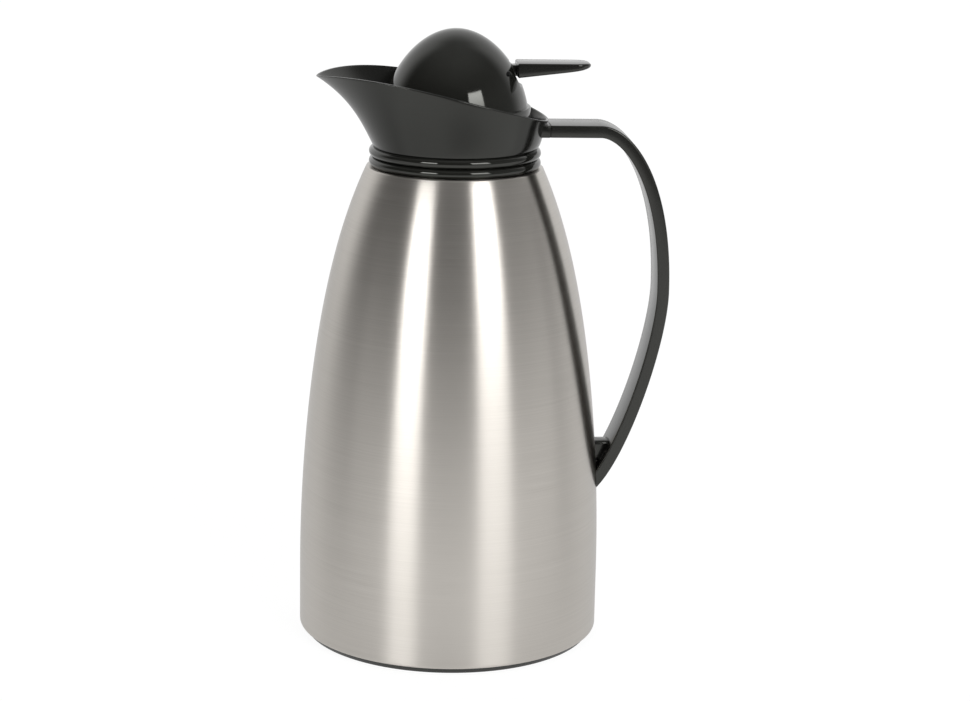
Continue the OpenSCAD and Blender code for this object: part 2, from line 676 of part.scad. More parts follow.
module lever() color(plastic_black) difference() {
    union() {
        // blade, wide and flat, with rounded corners at its tip
        intersection() {
            rotate([90, 0, 0]) linear_extrude(blade_w, center = true) polygon(blade_side);
            translate([0, 0, blade_top_z - blade_h - cut]) linear_extrude(blade_h + 2 * cut) union() {
                translate([0, -blade_w / 2]) square([lever_reach - tip_round, blade_w]);
                translate([0, tip_round - blade_w / 2]) square([lever_reach, blade_w - 2 * tip_round]);
                for (s = [-1, 1]) translate([lever_reach - tip_round, s * (blade_w / 2 - tip_round)])
                    circle(r = tip_round);
            }
        }
        along_pin(hub_r, hub_w);
        translate([pin_x, -hub_w / 2, pin_z - neck_t / 2]) cube([blade_root_x + 1 - pin_x, hub_w, neck_t]);
        // arm to the stem, ending in a fork under the stem's cap
        translate([fork_to - fork_lap, -hub_w / 2, arm_z]) cube([pin_x - fork_to + fork_lap, hub_w, arm_t]);
        translate([fork_from, -fork_w / 2, arm_z]) cube([fork_to - fork_from, fork_w, arm_t]);
        translate([0, 0, head_z - fork_gap - finger_r]) rotate([90, 0, 0])
            cylinder(r = finger_r, h = fork_w, center = true);
    }
    translate([fork_from - cut, -stem_r - loose_clear, pin_z - hub_r])
        cube([fork_slot_to - fork_from + cut, 2 * (stem_r + loose_clear), 2 * hub_r]);
    along_pin(pin_r + run_clear, 3 * hub_w);
}

// ================= valve =================

gasket_seat_z = plug_z + seat_t;
valve_gasket_t = 1.4;
gasket_in_r = port_r - 1.4;                 // the gasket reaches in over the opening
gasket_out_r = disc_r + 0.4;                // and a little beyond the disc
disc_z = gasket_seat_z + valve_gasket_t;
spring_low_z = disc_z + disc_t;
stem_top_r = stem_r - 0.7;

disc_hub_r = 4.5;                           // hub round the stem, inside the spring
disc_hub_h = 2;
rivet_h = 2.2;                              // thin end of the stem inside its cap
stem_cap_r = 6.5;
stem_cap_t = 2.8;
stem_cap_edge = 1;

module valve_disc() color(plastic_grey) rotate_extrude() polygon([
    [stem_r + press_clear, disc_z], [disc_r, disc_z], [disc_r, spring_low_z], [disc_hub_r, spring_low_z],
    [disc_hub_r, spring_low_z + disc_hub_h], [stem_r + press_clear, spring_low_z + disc_hub_h]
]);

module valve_gasket() color(silicone) rotate_extrude()
    translate([gasket_in_r, gasket_seat_z]) square([gasket_out_r - gasket_in_r, valve_gasket_t]);

module valve_stem() color(steel) rotate_extrude() polygon([
    [0, disc_z], [stem_r, disc_z], [stem_r, head_z], [stem_top_r, head_z],
    [stem_top_r, head_z + rivet_h], [0, head_z + rivet_h]
]);

module stem_cap() color(plastic_grey) rotate_extrude() polygon([
    [stem_top_r + press_clear, head_z], [stem_cap_r, head_z],
    [stem_cap_r, head_z + stem_cap_t - stem_cap_edge], [stem_cap_r - stem_cap_edge, head_z + stem_cap_t],
    [0, head_z + stem_cap_t], [0, head_z + rivet_h + run_clear],
    [stem_top_r + press_clear, head_z + rivet_h + run_clear]
]);

spring_steps = 8;                           // rings of points in one turn
spring_side_count = 6;
spring_from = spring_low_z + wire_d / 2 + 0.05;
spring_to = flange_z - wire_d / 2 - 0.05;
spring_pitch = (spring_to - spring_from) / spring_turns;
spring_count = spring_turns * spring_steps;
function spring_ring(i) = let (
    a = 360 * i / spring_steps, climb = atan2(spring_pitch, 360 * spring_r * PI / 180),
    out = [cos(a), sin(a), 0], run = [-sin(a) * cos(climb), cos(a) * cos(climb), sin(climb)],
    up = cross(out, run),
    mid = [spring_r * cos(a), spring_r * sin(a), spring_from + spring_pitch * i / spring_steps])
    [for (s = [0:spring_side_count - 1]) let (b = 360 * s / spring_side_count)
        mid + wire_d / 2 * (cos(b) * out + sin(b) * up)];
spring_points = [for (i = [0:spring_count]) for (p = spring_ring(i)) p];
function spring_id(i, s) = i * spring_side_count + s % spring_side_count;
spring_faces = concat(
    [[for (s = [0:spring_side_count - 1]) s]],
    [[for (s = [spring_side_count - 1:-1:0]) spring_id(spring_count, s)]],
    [for (i = [0:spring_count - 1]) for (s = [0:spring_side_count - 1]) for (f = [
        [spring_id(i, s), spring_id(i + 1, s), spring_id(i, s + 1)],
        [spring_id(i + 1, s), spring_id(i + 1, s + 1), spring_id(i, s + 1)]]) f]);
spring_gap = min([for (p = spring_ring(0)) for (i = [spring_steps - 1:spring_steps + 1])
    for (q = spring_ring(i)) norm(p - q)]);
echo(str("least gap between the spring's turns, in mm: ", spring_gap));

module return_spring() color(steel) polyhedron(spring_points, spring_faces, convexity = 10);

outer_shell();
base_ring();
base_cap();
liner_cushion();
liner_outer_glass();
liner_inner_glass();
liner_pads();
neck_gasket();
neck_ring();
collar();
handle();
handle_screw();
screw_washer();
stopper_plug();
stopper_seal();
stopper_dome();
lever();
lever_pin();
valve_disc();
valve_gasket();
valve_stem();
stem_cap();
return_spring();
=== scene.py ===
"""Looks of a vacuum carafe: brushed steel body, dark pouring collar, glossy domed stopper.

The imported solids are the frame. The pieces that show are modelled again here, finer and with
rounded edges, from the same sizes. Lengths in the shape functions are in millimetres.
"""

import json
import math

import bmesh
import bpy
from mathutils import Matrix, Vector


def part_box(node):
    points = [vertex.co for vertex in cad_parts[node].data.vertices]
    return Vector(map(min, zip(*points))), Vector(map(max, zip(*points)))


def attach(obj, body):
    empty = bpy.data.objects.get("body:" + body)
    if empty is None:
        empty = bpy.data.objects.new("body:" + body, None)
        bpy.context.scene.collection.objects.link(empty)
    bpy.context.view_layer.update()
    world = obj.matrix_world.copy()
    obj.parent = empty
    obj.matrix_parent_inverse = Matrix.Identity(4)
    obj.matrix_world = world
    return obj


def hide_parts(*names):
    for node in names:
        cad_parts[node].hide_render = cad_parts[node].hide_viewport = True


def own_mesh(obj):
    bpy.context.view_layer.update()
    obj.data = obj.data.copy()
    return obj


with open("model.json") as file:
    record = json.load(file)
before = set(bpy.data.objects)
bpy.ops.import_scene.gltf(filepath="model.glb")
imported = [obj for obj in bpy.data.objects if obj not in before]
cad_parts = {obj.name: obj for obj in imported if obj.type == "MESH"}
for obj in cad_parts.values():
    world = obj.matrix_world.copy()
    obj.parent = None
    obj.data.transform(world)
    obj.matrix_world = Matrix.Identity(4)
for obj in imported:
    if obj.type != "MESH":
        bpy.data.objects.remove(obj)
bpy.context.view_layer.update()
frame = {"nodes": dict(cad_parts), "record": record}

MM = 0.001
TURN_STEPS = 192                 # columns of a turned piece
FINE_TURN_STEPS = 256            # and of one whose outline shows large
SHARP_ANGLE = 32                 # degrees from which an edge isn't shaded smooth
NODE_SHARP_ANGLE = 28            # the same for the nodes that keep their shape


# ---------------------------------------------------------------- sizes, in mm
def low(node, axis):
    """Lowest coordinate of a node along an axis, in mm."""
    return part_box(node)[0][axis] / MM


def high(node, axis):
    """Highest coordinate of a node along an axis, in mm."""
    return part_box(node)[1][axis] / MM


X, Y, Z = 0, 1, 2

# steel body
BODY_R = high("outer_shell", X)
BODY_H = high("outer_shell", Z)
FOOT_H = low("outer_shell", Z)
SHOULDER_R = 41.2
DRAW_IN_Z = 31.0                 # height at which the wall starts to lean in
GENTLE_SHARE = 0.77              # of the lean that grows with the height's square
SHEET_T = 0.8
SHEET_T_LEVEL = SHEET_T * 1.15   # measured level, where the wall leans
EDGE_IN_R = 66.5                 # inner edge of the sheet's rolled bottom
EDGE_ROUND = 0.35
ROLL_R = 1.25
SHOULDER_ROUND = 0.7

# base ring
BASE_HOLE_R = 50.5
BASE_SLANT = 1.7                 # how far its foot stands back from the steel
BASE_SNAP = 1.2, 2.8             # reach and height of its snap edge
BASE_WALL_T = 2.4
BASE_STEP = 2.9, 2               # width and height of the step round its hole

# neck ring and the parts of the collar under it
RING_TOP_Z = high("neck_ring", Z)
BEAD_R = (RING_TOP_Z - BODY_H) / 4
BEAD_HALF_ARC = 86               # degrees
RING_R = high("neck_ring", Y)
NECK_R = RING_R - 1.8
HOLE_R = NECK_R - 1.9            # hole in the steel's top
SKIRT_R = HOLE_R - 0.4
SKIRT_T = 2.0
SKIRT_GAP = 0.2                  # beside the neck ring
HOOK_OUT = 0.8                   # reach of the skirt's snap hook beyond the hole
HOOK_Z = 4.0, 2.4, 1.1           # depths of its corners under the steel's top

# collar
BORE_R = 27.6                    # under the basin
SEAT_R = 23.0, 29.8              # inner and outer radius of the stopper's seat
SEAT_T = 2.5
SEAT_Z = low("collar", Z)
BASIN_Z = RING_TOP_Z + 2
BASIN_T = 3.0
BASIN_FILLET = 0.7
BORE_ROUND = 0.6                 # where the basin goes over into the bore
FLARE_Z = RING_TOP_Z + 0.4
FLARE_EVEN = 0.6                 # share of the flare that grows evenly with the height
FLARE_POWER = 3.2                # of the rest
FLARE_EDGE = 0.3                 # rounding and set-back of its lower edge
COLLAR_WALL = 2.0
RIM_WALL = 1.4
RIM_ROUND = 0.8                  # of the rim's outer edge
RIM_ROUND_IN = 0.4
RIM_STRETCH = 1.7                # straight stretch of the wall below the rim
RIM_HALF = 128                   # columns on one side of the collar
FLARE_ROWS = 26
SPOUT_X = low("collar", X)
TIP_Z = BASIN_Z + 30.4
REAR_X = NECK_R + 5.2
REAR_BULGE = 1.2                 # of the collar's outer wall under the handle
REAR_Z = BASIN_Z + 11.5
RIM_CURVE = [(REAR_X, 0, REAR_Z), (REAR_X, NECK_R + 14.6, REAR_Z),
             (-36.5, NECK_R + 18.2, TIP_Z + 12.1),
             (SPOUT_X, 12.4, TIP_Z + 0.4), (SPOUT_X, 0, TIP_Z)]
LEDGES = 3                       # of the collar's thread
LEDGE_ARC = 44                   # degrees
LEDGE_R = 26.0, 28.0             # its inner edge, and its root inside the wall
LEDGE_HALF_T = 0.52, 0.75        # at these two radii
LEDGE_Z = SEAT_Z + 14.2
THREAD_LEAD = 12

# handle
STRAP_W = high("handle", Y) - low("handle", Y)
STRAP_T = 5.7
STRAP_Z = REAR_Z - 1.9 - STRAP_T / 2
BOSS_X = high("collar", X)       # end of the collar's boss, where the strap starts
BOSS_EDGE = 0.5
GRIP = (98.6, 167.6)             # the strap's farthest point, at the middle of its thickness
FOOT_END = (EDGE_IN_R, 72.4)
STRAP_LINE = [[(NECK_R + 28.7, STRAP_Z), (NECK_R + 41.1, STRAP_Z),
               (GRIP[0], GRIP[1] + 53.5), GRIP],
              [GRIP, (GRIP[0], GRIP[1] - 25.4),
               (FOOT_END[0] + 14.8, FOOT_END[1] + 14.2), FOOT_END]]
STRAP_EDGE = 0.9                 # rounding of its four edges
STRAP_SEAM = 0.12                # chamfer where it meets the collar's boss
FOOT_BLOCK_W = 9.0
FOOT_BLOCK_Z = 93.0
FOOT_BLOCK_H = 10.0
FOOT_BLOCK_FACE = 4              # height of its outer face
FOOT_BLOCK_OUT = 5.4, 1          # reach of its top and its underside beyond the body's side
FOOT_BLOCK_EDGE = 1.6

# stopper's dome
DOME_Z = low("stopper_dome", Z)
DOME_TOP_Z = high("stopper_dome", Z)
DOME_H = DOME_TOP_Z - DOME_Z
LIP_R = high("stopper_dome", Y)
LIP_H = 9.6
LIP_ROUNDS = 0.5, 0.6, 0.25      # of its lower edge, its upper edge and its foot on the dome
DOME_R = LIP_R - 0.5
DOME_PULL = 0.54                 # share of the height over which the dome rises steeply
DOME_WALL = 2.4
FLANGE_Z = DOME_Z + 0.2          # the plug's flange, which sits in the dome
FLANGE_T = 2.5
FLANGE_R = DOME_R - DOME_WALL - 0.1
FLANGE_STEP = 1.2, 2             # width and height of the step that holds it

# lever
PIN_X = (low("lever_pin", X) + high("lever_pin", X)) / 2
PIN_Z = (low("lever_pin", Z) + high("lever_pin", Z)) / 2
PIN_HOLE_R = 1.12
EAR_R = 3.2                      # of the dome's inside round the pin
LEVER_REACH = high("lever", X)
BLADE_W = high("lever", Y) - low("lever", Y)
BLADE_TOP_Z = PIN_Z + 3.9
BLADE_H = 6.8
BLADE_ROOT_X = PIN_X + 5.1
BLADE_EDGE = 0.9
BLADE_ROOT_EDGE = 0.5
TIP_ROUND = 7.0
HUB_R = 3.9
HUB_W = 7.2
HUB_GAP = 0.7
SLOT_W = HUB_W + 1
SLOT_X = PIN_X - 8               # inner end of the slot
POCKET_X = PIN_X + 3.4
POCKET_W = BLADE_W + 1
POCKET_FLOOR_Z = PIN_Z - 6.88
POCKET_WALL = 1.6
POCKET_EDGES = 0.8, 0.5          # of the pocket and of its opening for the hub
ROOT_HALF_H = 2.5                # of the blade's root, between the hub and the blade
ARM_BOTTOM = PIN_Z - 2.3         # the lever's arm and fork inside the dome
ARM_TOP = PIN_Z + 1.1
ARM_X = 9
BRIDGE_X = 7, 12                 # from the arm to the prongs
PRONG_X = -3.4, 8
PRONG_W = 3.1
STEM_GAP = 5.8                   # between the fork's prongs
FORK_W = STEM_GAP + 2 * PRONG_W
FORK_EDGE = 0.4
NUB_R = 1.6                      # of the round end that lifts the stem's cap
NUB_Z = PIN_Z + 0.5

# spring
SPRING_R = 5.7
SPRING_TURNS = 7
SPRING_TOP_Z = high("return_spring", Z)
SPRING_LOW_Z = low("return_spring", Z)
WIRE_R = high("return_spring", X) - SPRING_R


# ---------------------------------------------------------------- curves
def lerp(a, b, t):
    return a + (b - a) * t


def bezier(points, t):
    """A point of a Bezier curve with any number of control points."""
    points = [Vector(p) for p in points]
    while len(points) > 1:
        points = [p.lerp(q, t) for p, q in zip(points, points[1:])]
    return points[0]


def bezier_run(points, t):
    """The direction of a Bezier curve."""
    steps = [Vector(q) - Vector(p) for p, q in zip(points, points[1:])]
    return bezier(steps, t)


def rounded(points, radii, steps=5):
    """A closed outline with its corners rounded. radii maps a corner's index to its radius."""
    out = []
    count = len(points)
    for i, p in enumerate(points):
        here = Vector(p)
        if i not in radii:
            out.append(here)
            continue
        before = Vector(points[i - 1]) - here
        after = Vector(points[(i + 1) % count]) - here
        half = before.angle(after) / 2
        back = min(radii[i] / math.tan(half), before.length * 0.49, after.length * 0.49)
        start = here + before.normalized() * back
        end = here + after.normalized() * back
        pull = here.lerp((start + end) / 2, 0.12)
        out += [bezier([start, pull, end], s / steps) for s in range(steps + 1)]
    return out


def body_curve(z):
    """Outer radius of the steel body at a height."""
    u = max(0.0, (z - DRAW_IN_Z) / (BODY_H - DRAW_IN_Z))
    lean = GENTLE_SHARE * u ** 2 + (1 - GENTLE_SHARE) * u ** 6
    return BODY_R - (BODY_R - SHOULDER_R) * lean


# ---------------------------------------------------------------- meshes
def linked(name, bm):
    """An object of a bmesh in metres, in the scene."""
    mesh = bpy.data.meshes.new(name)
    bm.to_mesh(mesh)
    bm.free()
    obj = bpy.data.objects.new(name, mesh)
    bpy.context.scene.collection.objects.link(obj)
    return obj


def new_object(name, bm):
    """An object of a bmesh in mm, with its faces turned outwards."""
    bmesh.ops.scale(bm, vec=(MM, MM, MM), verts=bm.verts)
    bmesh.ops.recalc_face_normals(bm, faces=bm.faces)
    return linked(name, bm)


def shade_smooth(obj, sharp_angle=SHARP_ANGLE):
    obj.data.polygons.foreach_set("use_smooth", [True] * len(obj.data.polygons))
    obj.data.set_sharp_from_angle(angle=math.radians(sharp_angle))


def grid(bm, rings, closed_run=False):
    """Faces between closed rings of points that all have the same number of points."""
    rows = [[bm.verts.new(p) for p in ring] for ring in rings]
    pairs = list(zip(rows, rows[1:]))
    if closed_run:
        pairs.append((rows[-1], rows[0]))
    for a, b in pairs:
        count = len(a)
        for i in range(count):
            j = (i + 1) % count
            bm.faces.new((a[i], a[j], b[j], b[i]))
    return rows


def bar(name, rings):
    """A solid through rings of points, with a face on each end."""
    bm = bmesh.new()
    rows = grid(bm, rings)
    bm.faces.new(rows[0])
    bm.faces.new(rows[-1])
    return new_object(name, bm)


def turned(name, profile, steps=TURN_STEPS):
    """A closed profile of (radius, height) points, turned round the axis."""
    bm = bmesh.new()
    rings = []
    for k in range(steps):
        a = 2 * math.pi * k / steps
        rings.append([(p[0] * math.cos(a), p[0] * math.sin(a), p[1]) for p in profile])
    grid(bm, rings, closed_run=True)
    bmesh.ops.remove_doubles(bm, verts=bm.verts, dist=1e-4)
    return new_object(name, bm)


def soften(bm, edges, size):
    """Rounds edges."""
    bmesh.ops.bevel(bm, geom=edges, offset=size, segments=3, profile=0.5, affect="EDGES")


def box_shape(name, low_corner, high_corner, edge=0.0):
    """A box with rounded edges."""
    bm = bmesh.new()
    size = Vector(high_corner) - Vector(low_corner)
    middle = (Vector(high_corner) + Vector(low_corner)) / 2
    place = Matrix.Translation(middle) @ Matrix.Diagonal((*size, 1))
    bmesh.ops.create_cube(bm, size=1, matrix=place)
    if edge:
        soften(bm, bm.edges[:], edge)
    return new_object(name, bm)


def along_y(name, x, z, radius, width, steps=64, edge=0.0):
    """A round bar along Y."""
    bm = bmesh.new()
    turn = Matrix.Translation((x, 0, z)) @ Matrix.Rotation(math.pi / 2, 4, "X")
    bmesh.ops.create_cone(bm, cap_ends=True, segments=steps, radius1=radius, radius2=radius,
                          depth=width, matrix=turn)
    if edge:
        rims = [e for e in bm.edges if len(e.link_faces) == 2 and e.calc_face_angle() > 1]
        soften(bm, rims, edge)
    return new_object(name, bm)


def prism_y(name, outline, width, edge=0.0):
    """An outline of (x, z) points with a width along Y."""
    bm = bmesh.new()
    face = bm.faces.new([bm.verts.new((x, -width / 2, z)) for x, z in outline])
    moved = bmesh.ops.extrude_face_region(bm, geom=[face])["geom"]
    far_side = [g for g in moved if isinstance(g, bmesh.types.BMVert)]
    bmesh.ops.translate(bm, vec=(0, width, 0), verts=far_side)
    if edge:
        soften(bm, bm.edges[:], edge)
    return new_object(name, bm)


def remove(obj):
    mesh = obj.data
    bpy.data.objects.remove(obj)
    bpy.data.meshes.remove(mesh)


def combine(obj, tool, operation):
    """Adds, cuts or intersects obj with tool, and removes the tool."""
    modifier = obj.modifiers.new("combine", "BOOLEAN")
    modifier.operation = operation
    modifier.solver = "EXACT"
    modifier.object = tool
    graph = bpy.context.evaluated_depsgraph_get()
    result = bpy.data.meshes.new_from_object(obj.evaluated_get(graph))
    obj.modifiers.clear()
    old = obj.data
    obj.data = result
    bpy.data.meshes.remove(old)
    remove(tool)


def join(name, parts):
    """One object that holds several closed shells."""
    bm = bmesh.new()
    for part in parts:
        bm.from_mesh(part.data)
        remove(part)
    return linked(name, bm)


# ---------------------------------------------------------------- pieces
def body_shell():
    """Steel sheet: bottom roll, drawn-in wall and the flat top edge under the neck ring."""
    wall_steps, round_steps, columns = 90, 8, 288
    heights = [lerp(FOOT_H + 2, BODY_H, i / wall_steps) for i in range(wall_steps + 1)]
    outer = [(body_curve(z), z) for z in heights]
    inner = [(r - SHEET_T_LEVEL, z - (SHEET_T if z == BODY_H else 0)) for r, z in reversed(outer)]
    outline = [(EDGE_IN_R, FOOT_H), (BODY_R, FOOT_H)] + outer
    outline += [(HOLE_R, BODY_H), (HOLE_R, BODY_H - SHEET_T)] + inner
    outline += [(BODY_R - SHEET_T, FOOT_H + SHEET_T), (EDGE_IN_R, FOOT_H + SHEET_T)]
    shoulder = 1 + len(outer)
    rounds = {0: EDGE_ROUND, 1: ROLL_R, shoulder: SHOULDER_ROUND}
    return turned("body_shell", rounded(outline, rounds, round_steps), columns)


def base_foot():
    """Base ring: the thin black edge under the steel and the walls inside it."""
    foot_r = high("base_ring", Y) - BASE_SLANT
    top = high("base_ring", Z)
    snap_out, snap_h = BASE_SNAP
    step_w, step_h = BASE_STEP
    wall_r = EDGE_IN_R - 0.3
    wall_in = wall_r - BASE_WALL_T
    rim_r = BASE_HOLE_R + BASE_WALL_T
    snap_z = FOOT_H + SHEET_T + 0.2
    outline = [(BASE_HOLE_R + step_w, 0), (foot_r, 0), (foot_r + BASE_SLANT, FOOT_H),
               (wall_r, FOOT_H), (wall_r, snap_z), (wall_r + snap_out, snap_z),
               (wall_r, snap_z + snap_h), (wall_r, top - 1), (wall_in, top - 1),
               (wall_in, FOOT_H), (rim_r, FOOT_H), (rim_r, top),
               (BASE_HOLE_R, top), (BASE_HOLE_R, step_h), (BASE_HOLE_R + step_w, step_h)]
    return turned("base_foot", rounded(outline, {0: 0.3, 1: 0.9, 2: 0.3, 11: 0.4, 12: 0.4}))


def neck_beads():
    """Neck ring: two round beads with a crease between them."""
    steps = 24
    outline = [(SKIRT_R + SKIRT_GAP, BODY_H)]
    for i in (0, 1):
        centre = Vector((RING_R - BEAD_R, BODY_H + (2 * i + 1) * BEAD_R))
        for s in range(steps + 1):
            a = math.radians(lerp(-BEAD_HALF_ARC, BEAD_HALF_ARC, s / steps))
            outline.append(centre + BEAD_R * Vector((math.cos(a), math.sin(a))))
    outline.append((SKIRT_R + SKIRT_GAP, RING_TOP_Z))
    return turned("neck_beads", outline, FINE_TURN_STEPS)


def flare(h):
    """Share of the way from the neck to the rim, at a share of the collar's height."""
    return FLARE_EVEN * h + (1 - FLARE_EVEN) * h ** FLARE_POWER


def collar_column(k):
    """The collar's whole section at one column.

    It is given as a direction and a closed outline of (radius, height) points.
    """
    u = k / RIM_HALF if k <= RIM_HALF else 2 - k / RIM_HALF
    rim = bezier(RIM_CURVE, u)
    run = bezier_run(RIM_CURVE, u).normalized()
    away = Vector((rim.x, rim.y)).normalized()
    skew = 1 / abs(Vector((run.y, -run.x)).normalized() @ away) if run.xy.length > 1e-6 else 1
    reach = rim.xy.length
    bulge = REAR_BULGE * max(0, 1 - 2 * u) ** 2

    def wall(h):
        return lerp(COLLAR_WALL, RIM_WALL, h) * lerp(1, skew, flare(h))

    def radius(h):
        return lerp(NECK_R, reach, flare(h))

    def height(h):
        return lerp(FLARE_Z, rim.z, h)

    # the last stretch is straight, so that the rim's rounding fits into it
    rim_slope = Vector((radius(1) - radius(0.99), height(1) - height(0.99))).length / 0.01
    last = 1 - RIM_STRETCH / rim_slope
    rows = [last * i / FLARE_ROWS for i in range(FLARE_ROWS + 1)] + [1]
    outer = [(radius(h) + bulge * math.sin(math.pi * math.sqrt(h)), height(h)) for h in rows]
    inner = [(radius(h) - wall(h), height(h)) for h in reversed(rows)]
    inner = inner[:-2] + [(inner[-2][0], BASIN_Z + BASIN_FILLET)]
    seat_in, seat_out = SEAT_R
    skirt_in, hook_r = SKIRT_R - SKIRT_T, HOLE_R + HOOK_OUT
    hook_low, hook_middle, hook_top = [BODY_H - depth for depth in HOOK_Z]
    below = [(BORE_R, BASIN_Z), (BORE_R, SEAT_Z + SEAT_T), (seat_in, SEAT_Z + SEAT_T),
             (seat_in, SEAT_Z), (seat_out, SEAT_Z), (seat_out, BASIN_Z - BASIN_T),
             (skirt_in, BASIN_Z - BASIN_T), (skirt_in, hook_low),
             (SKIRT_R + 0.2, hook_low), (hook_r, hook_middle),
             (hook_r, hook_top), (SKIRT_R, hook_top),
             (SKIRT_R, RING_TOP_Z), (NECK_R - FLARE_EDGE, RING_TOP_Z)]
    outline = outer + inner + [(inner[-1][0] - BASIN_FILLET, BASIN_Z)] + below
    rim_out = len(outer) - 1
    bore_edge = len(outer) + len(inner) + 1
    rounds = {0: FLARE_EDGE, rim_out: RIM_ROUND, rim_out + 1: RIM_ROUND_IN, bore_edge: BORE_ROUND}
    side = 1 if k <= RIM_HALF else -1
    return Vector((away.x, side * away.y)), rounded(outline, rounds)


def collar_ledge(turn):
    """One ledge of the collar's thread: a bar that climbs along its arc."""
    steps = 16
    (edge_r, root_r), (edge_t, root_t) = LEDGE_R, LEDGE_HALF_T
    section = [(root_r, -root_t), (edge_r, -edge_t), (edge_r, edge_t), (root_r, root_t)]
    rings = []
    for i in range(steps + 1):
        a = lerp(-LEDGE_ARC / 2, LEDGE_ARC / 2, i / steps)
        z = LEDGE_Z + a * THREAD_LEAD / 360
        c, s = math.cos(math.radians(a + turn)), math.sin(math.radians(a + turn))
        rings.append([(r * c, r * s, z + dz) for r, dz in section])
    return bar("ledge", rings)


def pouring_collar():
    """Collar: neck, flared spout and basin, with the socket that the handle plugs into."""
    bm = bmesh.new()
    rings = []
    for k in range(2 * RIM_HALF):
        away, outline = collar_column(k)
        rings.append([(away.x * p[0], away.y * p[0], p[1]) for p in outline])
    grid(bm, rings, closed_run=True)
    main = new_object("collar_main", bm)
    boss = box_shape("boss", (NECK_R - 2, -STRAP_W / 2, STRAP_Z - STRAP_T / 2),
                     (BOSS_X, STRAP_W / 2, STRAP_Z + STRAP_T / 2), BOSS_EDGE)
    # a cone inside the flare keeps the basin free of the boss
    reach = 4
    inside = turned("inside", [(0, STRAP_Z - reach), (NECK_R - 0.1, STRAP_Z - reach),
                               (NECK_R + 3.2, STRAP_Z + reach), (0, STRAP_Z + reach)], 96)
    combine(boss, inside, "DIFFERENCE")
    ledges = [collar_ledge(360 / LEDGES * i) for i in range(LEDGES)]
    return join("pouring_collar", [main, boss] + ledges)


def strap_section(half_w, half_t, edge):
    """A rounded rectangle, as (along the width, along the thickness) points."""
    corners = [(-half_w, -half_t), (half_w, -half_t), (half_w, half_t), (-half_w, half_t)]
    return rounded(corners, {i: edge for i in range(4)}, 6)


def body_cutter():
    """Solid of the body's outside near the handle's foot, a hair larger than the steel."""
    bottom, top, gap, steps = FOOT_END[1] - 20, FOOT_BLOCK_Z + 20, 0.1, 30
    heights = [lerp(bottom, top, i / steps) for i in range(steps + 1)]
    wall = [(body_curve(z) + gap, z) for z in heights]
    return turned("cutter", [(0, bottom)] + wall + [(0, top)])


def strap_handle():
    """Handle: a flat strap on a curve, and the block at its foot, both cut to the steel's curve."""
    steps = 56
    level = (1, 0)
    places = [BOSS_X + STRAP_SEAM] + [lerp(BOSS_X + 1, NECK_R + 28, i / 6) for i in range(7)]
    stations = [((BOSS_X, STRAP_Z), level, STRAP_SEAM)]
    stations += [((x, STRAP_Z), level, 0.0) for x in places]
    for line in STRAP_LINE:
        for i in range(1, steps + 1):
            t = i / steps
            stations.append((bezier(line, t), bezier_run(line, t), 0.0))
    rings = []
    for middle, run, inset in stations:
        run = Vector(run).normalized()
        out = Vector((-run.y, run.x))
        section = strap_section(STRAP_W / 2 - inset, STRAP_T / 2 - inset, STRAP_EDGE)
        rings.append([(middle[0] + out.x * t, w, middle[1] + out.y * t) for w, t in section])
    strap = bar("strap", rings)
    combine(strap, body_cutter(), "DIFFERENCE")
    inner_x, bottom = BODY_R - 10, FOOT_BLOCK_Z - FOOT_BLOCK_H
    top_x, bottom_x = [BODY_R + out for out in FOOT_BLOCK_OUT]
    outline = [(inner_x, FOOT_BLOCK_Z), (top_x, FOOT_BLOCK_Z),
               (top_x, FOOT_BLOCK_Z - FOOT_BLOCK_FACE), (bottom_x, bottom), (inner_x, bottom)]
    block = prism_y("block", outline, FOOT_BLOCK_W, FOOT_BLOCK_EDGE)
    combine(block, body_cutter(), "DIFFERENCE")
    return join("strap_handle", [strap, block])


def dome_profile(radius, top, steps=72):
    """Points of the dome's curve, from its lower edge to its top."""
    curve = [(radius, DOME_Z), (radius, DOME_Z + DOME_H * DOME_PULL), (radius / 2 + 0.05, top),
             (0, top)]
    return [bezier(curve, i / steps) for i in range(steps + 1)]


def analytic_normals(obj, profile, from_z):
    """Gives a turned surface its true normals above a height, also next to what cuts it."""
    curve = [(p[1] * MM, p[0] * MM) for p in profile]
    mesh = obj.data
    normals = [(0.0, 0.0, 0.0)] * len(mesh.loops)

    def surface(z):
        """The profile's radius at a height, and its slope."""
        for (z0, r0), (z1, r1) in zip(curve, curve[1:]):
            if z0 <= z <= z1 and z1 > z0:
                t = (z - z0) / (z1 - z0)
                return lerp(r0, r1, t), (z1 - z0, r0 - r1)
        return None

    for face in mesh.polygons:
        for i in face.loop_indices:
            p = mesh.vertices[mesh.loops[i].vertex_index].co
            r = p.xy.length
            found = surface(p.z) if p.z > from_z * MM and r > 1e-4 else None
            if not found or abs(found[0] - r) > 3e-5:
                continue
            rise, fall = found[1]
            n = Vector((p.x / r * rise, p.y / r * rise, fall)).normalized()
            if n @ face.normal > 0.985:
                normals[i] = tuple(n)
    mesh.normals_split_custom_set(normals)


